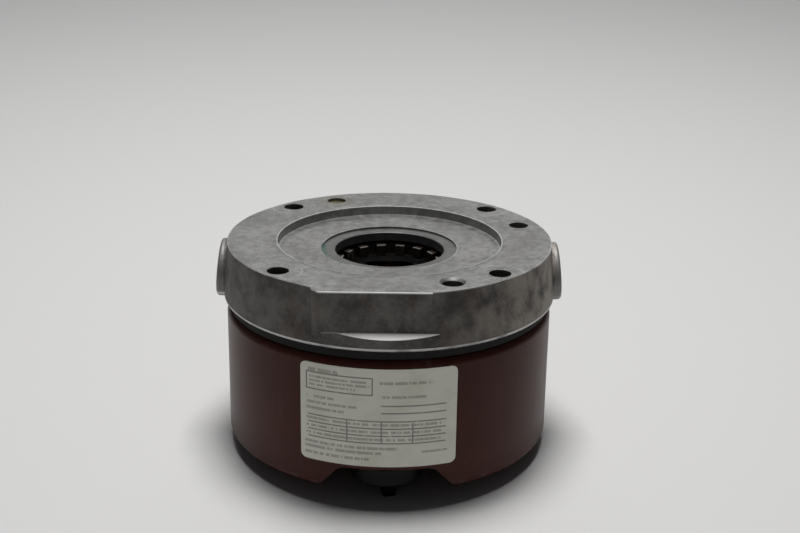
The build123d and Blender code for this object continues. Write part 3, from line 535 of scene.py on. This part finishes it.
finishes = {
    "cast_aluminium": makeEndplateMetal(),
    "maroon_paint": makeMaroonPaint(),
    "label_film": makeLabelFilm(),
    "black_rubber": makeMottled(
        "blackRubber", (0.006, 0.006, 0.006), (0.012, 0.012, 0.012),
        90.0, 0.72, 0.25, 0.00015, grime=(0.026, 0.024, 0.022), IOR=1.35,
    ),
    "black_plastic": makeMottled(
        "blackPlastic", (0.002, 0.002, 0.002), (0.004, 0.004, 0.004),
        60.0, 0.40, 0.15, 0.00008, grime=(0.008, 0.007, 0.007), IOR=1.25,
    ),
    "bright_steel": makeTurned(
        "brightSteel", (0.50, 0.49, 0.47), (0.66, 0.65, 0.63),
        0.30, (0.22, 0.19, 0.16), Metallic=0.95,
    ),
    "plated_steel": makeMottled(
        "platedSteel", (0.075, 0.068, 0.032), (0.135, 0.120, 0.060),
        260.0, 0.48, 0.3, 0.00015, grime=(0.045, 0.038, 0.024), Metallic=0.45,
    ),
    "zinc_steel": makeMottled(
        "zincSteel", (0.27, 0.275, 0.28), (0.40, 0.40, 0.40),
        120.0, 0.40, 0.2, 0.0001, grime=(0.16, 0.145, 0.125), Metallic=0.8,
    ),
    "dark_steel": makeMottled(
        "darkSteel", (0.030, 0.027, 0.024), (0.065, 0.058, 0.050),
        200.0, 0.5, 0.3, 0.00015, grime=(0.10, 0.085, 0.065), Metallic=0.5,
    ),
    "grey_iron": makeTurned(
        "greyIron", (0.10, 0.098, 0.095), (0.17, 0.165, 0.16),
        0.52, (0.085, 0.060, 0.045), Metallic=0.6,
    ),
    "friction_lining": makeLining(),
    "laminated_steel": makeLaminations(),
    "copper_winding": makeMottled(
        "copperWinding", (0.20, 0.055, 0.022), (0.34, 0.105, 0.040),
        150.0, 0.34, 0.2, 0.0001, grime=(0.10, 0.035, 0.018), Metallic=0.35,
    ),
    "bobbin_plastic": makeMottled(
        "bobbinPlastic", (0.022, 0.022, 0.023), (0.040, 0.039, 0.038),
        120.0, 0.5, 0.2, 0.0001,
    ),
    "spring_steel": makeMottled(
        "springPaint", (0.105, 0.026, 0.018), (0.165, 0.048, 0.032),
        190.0, 0.42, 0.3, 0.00015, grime=(0.050, 0.030, 0.024), Metallic=0.25,
    ),
    "bronze": makeMottled(
        "bronze", (0.36, 0.22, 0.085), (0.48, 0.31, 0.13),
        200.0, 0.42, 0.25, 0.0001, grime=(0.16, 0.10, 0.05), Metallic=0.8,
    ),
}
discSteel = makeDiscSteel()
slotOf = {row["node"]: row["material_slot"] for row in frame["record"]["subparts"]}
for nodeName, cadNode in frame["nodes"].items():
    cadNode.data.materials.clear()
    cadNode.data.materials.append(discSteel if nodeName == "disc_core" else finishes[slotOf[nodeName]])
print("finishes on", len(frame["nodes"]), "nodes")


def finishPiece(piece, body, slotName, replaced):
    takeUp(piece)
    bpy.ops.object.transform_apply(location=True, rotation=True, scale=True)
    piece.data.materials.clear()
    piece.data.materials.append(finishes[slotName])
    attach(piece, body)
    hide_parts(replaced)


# torque springs, in mm: a wire ring screwed up into a coil, its ends ground flat
springSet = {
    "circle": 50.0,
    "first": 90,
    "count": 3,
    "coil": 6.6,
    "wire": 1.25,
    "turns": 6.4,
    "squeeze": 1.2,
}


def makeTorqueSprings():
    look = springSet
    low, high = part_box("torque_springs")
    rise = high.z - low.z
    wire = look["wire"] * mm
    pitch = (rise - 2 * wire) / look["turns"]
    deselectAll()
    start = (look["coil"] * mm, 0, low.z - 0.1 * mm)
    bpy.ops.mesh.primitive_circle_add(vertices=14, radius=wire, location=start, rotation=(math.pi / 2, 0, 0))
    spring = bpy.context.object
    spring.name = "torqueSpring"
    bpy.ops.object.transform_apply(location=True, rotation=True, scale=True)
    screw = spring.modifiers.new("coil", "SCREW")
    screw.angle = 2 * math.pi * (look["turns"] + 0.35)
    screw.screw_offset = pitch * (look["turns"] + 0.35) + wire * 0.9
    screw.steps = 44 * int(look["turns"] + 1)
    screw.render_steps = screw.steps
    bpy.ops.object.modifier_apply(modifier="coil")
    bpy.ops.object.mode_set(mode="EDIT")
    bpy.ops.mesh.select_all(action="SELECT")
    bpy.ops.mesh.remove_doubles(threshold=1e-6)
    bpy.ops.mesh.select_all(action="DESELECT")
    bpy.ops.mesh.select_non_manifold()
    bpy.ops.mesh.edge_face_add()
    for level, lower in ((low.z, True), (high.z, False)):
        bpy.ops.mesh.select_all(action="SELECT")
        bpy.ops.mesh.bisect(
            plane_co=(0, 0, level),
            plane_no=(0, 0, 1),
            use_fill=True,
            clear_inner=lower,
            clear_outer=not lower,
        )
    bpy.ops.mesh.select_all(action="SELECT")
    bpy.ops.mesh.normals_make_consistent(inside=False)
    bpy.ops.object.mode_set(mode="OBJECT")
    bpy.ops.object.shade_smooth_by_angle(angle=math.radians(35))
    springs = [spring]
    while len(springs) < look["count"]:
        twin = spring.copy()
        twin.data = spring.data.copy()
        bpy.context.scene.collection.objects.link(twin)
        springs.append(twin)
    for number, piece in enumerate(springs):
        turn = math.radians(look["first"] + 360 * number / look["count"])
        piece.name = "torqueSpring" + str(number + 1)
        piece.location = (look["circle"] * mm * math.cos(turn), look["circle"] * mm * math.sin(turn), 0)
        piece.rotation_euler = (0, 0, turn)
        finishPiece(piece, "frame", "spring_steel", "torque_springs")
        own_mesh(piece)
    print("torque springs made:", len(springs))


# solenoid winding, in mm: a rounded block with the turns of wire standing proud in rows
windingSet = {"turns": 12, "corner": 5.6, "bulge": 0.45, "wall": 9.0}


def makeWinding():
    look = windingSet
    low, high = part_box("coil_winding")
    centre = (low + high) / 2
    size = high - low
    row = size.z / look["turns"]
    deselectAll()
    bpy.ops.mesh.primitive_cube_add(size=1, location=(centre.x, centre.y, low.z + row / 2))
    turnPiece = bpy.context.object
    turnPiece.name = "windingTurns"
    turnPiece.scale = (size.x, size.y, row)
    bpy.ops.object.transform_apply(location=True, rotation=True, scale=True)
    bpy.ops.object.mode_set(mode="EDIT")
    bpy.ops.mesh.select_mode(type="EDGE")
    bpy.ops.mesh.select_all(action="DESELECT")
    bpy.ops.object.mode_set(mode="OBJECT")
    mesh = turnPiece.data
    for edge in mesh.edges:
        a, b = (mesh.vertices[i].co for i in edge.vertices)
        edge.select = abs(a.z - b.z) > row / 2
    bpy.ops.object.mode_set(mode="EDIT")
    bpy.ops.mesh.bevel(offset=look["corner"] * mm, segments=8)
    bpy.ops.object.mode_set(mode="OBJECT")
    # both flat ends go, then the wall gets its thickness inwards
    bpy.ops.object.mode_set(mode="EDIT")
    bpy.ops.mesh.select_mode(type="FACE")
    bpy.ops.object.mode_set(mode="OBJECT")
    for face in mesh.polygons:
        face.select = abs(face.normal.z) > 0.9
    bpy.ops.object.mode_set(mode="EDIT")
    bpy.ops.mesh.delete(type="ONLY_FACE")
    bpy.ops.object.mode_set(mode="OBJECT")
    wall = turnPiece.modifiers.new("wall", "SOLIDIFY")
    wall.thickness = look["wall"] * mm
    wall.offset = -1
    bpy.ops.object.modifier_apply(modifier="wall")
    edges = turnPiece.modifiers.new("wire", "BEVEL")
    edges.width = row * look["bulge"]
    edges.segments = 3
    edges.limit_method = "ANGLE"
    edges.angle_limit = math.radians(60)
    bpy.ops.object.modifier_apply(modifier="wire")
    rows = turnPiece.modifiers.new("rows", "ARRAY")
    rows.count = look["turns"]
    rows.use_relative_offset = False
    rows.use_constant_offset = True
    rows.constant_offset_displace = (0, 0, row)
    bpy.ops.object.modifier_apply(modifier="rows")
    bpy.ops.object.shade_smooth_by_angle(angle=math.radians(50))
    finishPiece(turnPiece, "frame", "copper_winding", "coil_winding")
    print("winding made:", look["turns"], "rows")


makeTorqueSprings()
makeWinding()


# the floor leans a little and stops just under the knob; the gap is in mm
floorSet = {
    "lean": 0.06,
    "level": -0.1063,
    "gap": 0.15,
    "size": 9.0,
    "colour": (0.60, 0.595, 0.59),
}


def makeFloor():
    look = floorSet
    tilt = math.atan(look["lean"])
    height = look["level"] - look["gap"] * mm
    deselectAll()
    bpy.ops.mesh.primitive_plane_add(size=look["size"], location=(0, 0, height), rotation=(tilt, 0, 0))
    floor = bpy.context.object
    floor.name = "floor"
    material, tree, shader = newMaterial("floorPaper", Roughness=0.55)
    shader.inputs["Base Color"].default_value = colour(look["colour"])
    floor.data.materials.append(material)


# the camera's place is in mm and its turns are in degrees
cameraSet = {
    "place": (0.98, -661.81, 215.03),
    "pitch": 19.204,
    "yaw": 0.391,
    "roll": 0.844,
    "lens": 61.25,
    "sensor": 36.0,
}


def makeCamera():
    look = cameraSet
    pitch, yaw, roll = (math.radians(look[name]) for name in ("pitch", "yaw", "roll"))
    forward = Vector((math.sin(yaw) * math.cos(pitch), math.cos(yaw) * math.cos(pitch), -math.sin(pitch)))
    level = Vector((math.cos(yaw), -math.sin(yaw), 0))
    rise = level.cross(forward)
    right = math.cos(roll) * level + math.sin(roll) * rise
    upward = -math.sin(roll) * level + math.cos(roll) * rise
    data = bpy.data.cameras.new("camera")
    data.lens = look["lens"]
    data.sensor_width = look["sensor"]
    camera = bpy.data.objects.new("camera", data)
    turn = Matrix((right, upward, -forward)).transposed().to_4x4()
    camera.matrix_world = Matrix.Translation(Vector(look["place"]) * mm) @ turn
    bpy.context.scene.collection.objects.link(camera)
    bpy.context.scene.camera = camera


# one soft light overhead and a wash on the floor behind
skySet = {"colour": (0.80, 0.81, 0.83), "strength": 0.06}
lightSet = [
    {
        "name": "overhead",
        "place": (0.0, 0.10, 1.50),
        "aim": (0, 0.02, -0.05),
        "size": (0.55, 0.45),
        "power": 28.0,
    },
    {
        "name": "backWash",
        "place": (0.0, 2.2, 1.2),
        "aim": (0, 1.6, -0.1),
        "size": (2.2, 0.6),
        "power": 7.0,
    },
]


def makeLights():
    world = bpy.data.worlds.new("studio")
    world.use_nodes = True
    sky = world.node_tree.nodes["Background"]
    sky.inputs["Color"].default_value = colour(skySet["colour"])
    sky.inputs["Strength"].default_value = skySet["strength"]
    bpy.context.scene.world = world
    for look in lightSet:
        data = bpy.data.lights.new(look["name"], "AREA")
        data.shape = "RECTANGLE"
        data.size, data.size_y = look["size"]
        data.energy = look["power"]
        light = bpy.data.objects.new(look["name"], data)
        light.location = look["place"]
        aim = Vector(look["aim"]) - Vector(look["place"])
        light.rotation_euler = aim.to_track_quat("-Z", "Y").to_euler()
        bpy.context.scene.collection.objects.link(light)
    bpy.context.scene.view_settings.view_transform = "Standard"


makeFloor()
makeCamera()
makeLights()
print("studio ready")
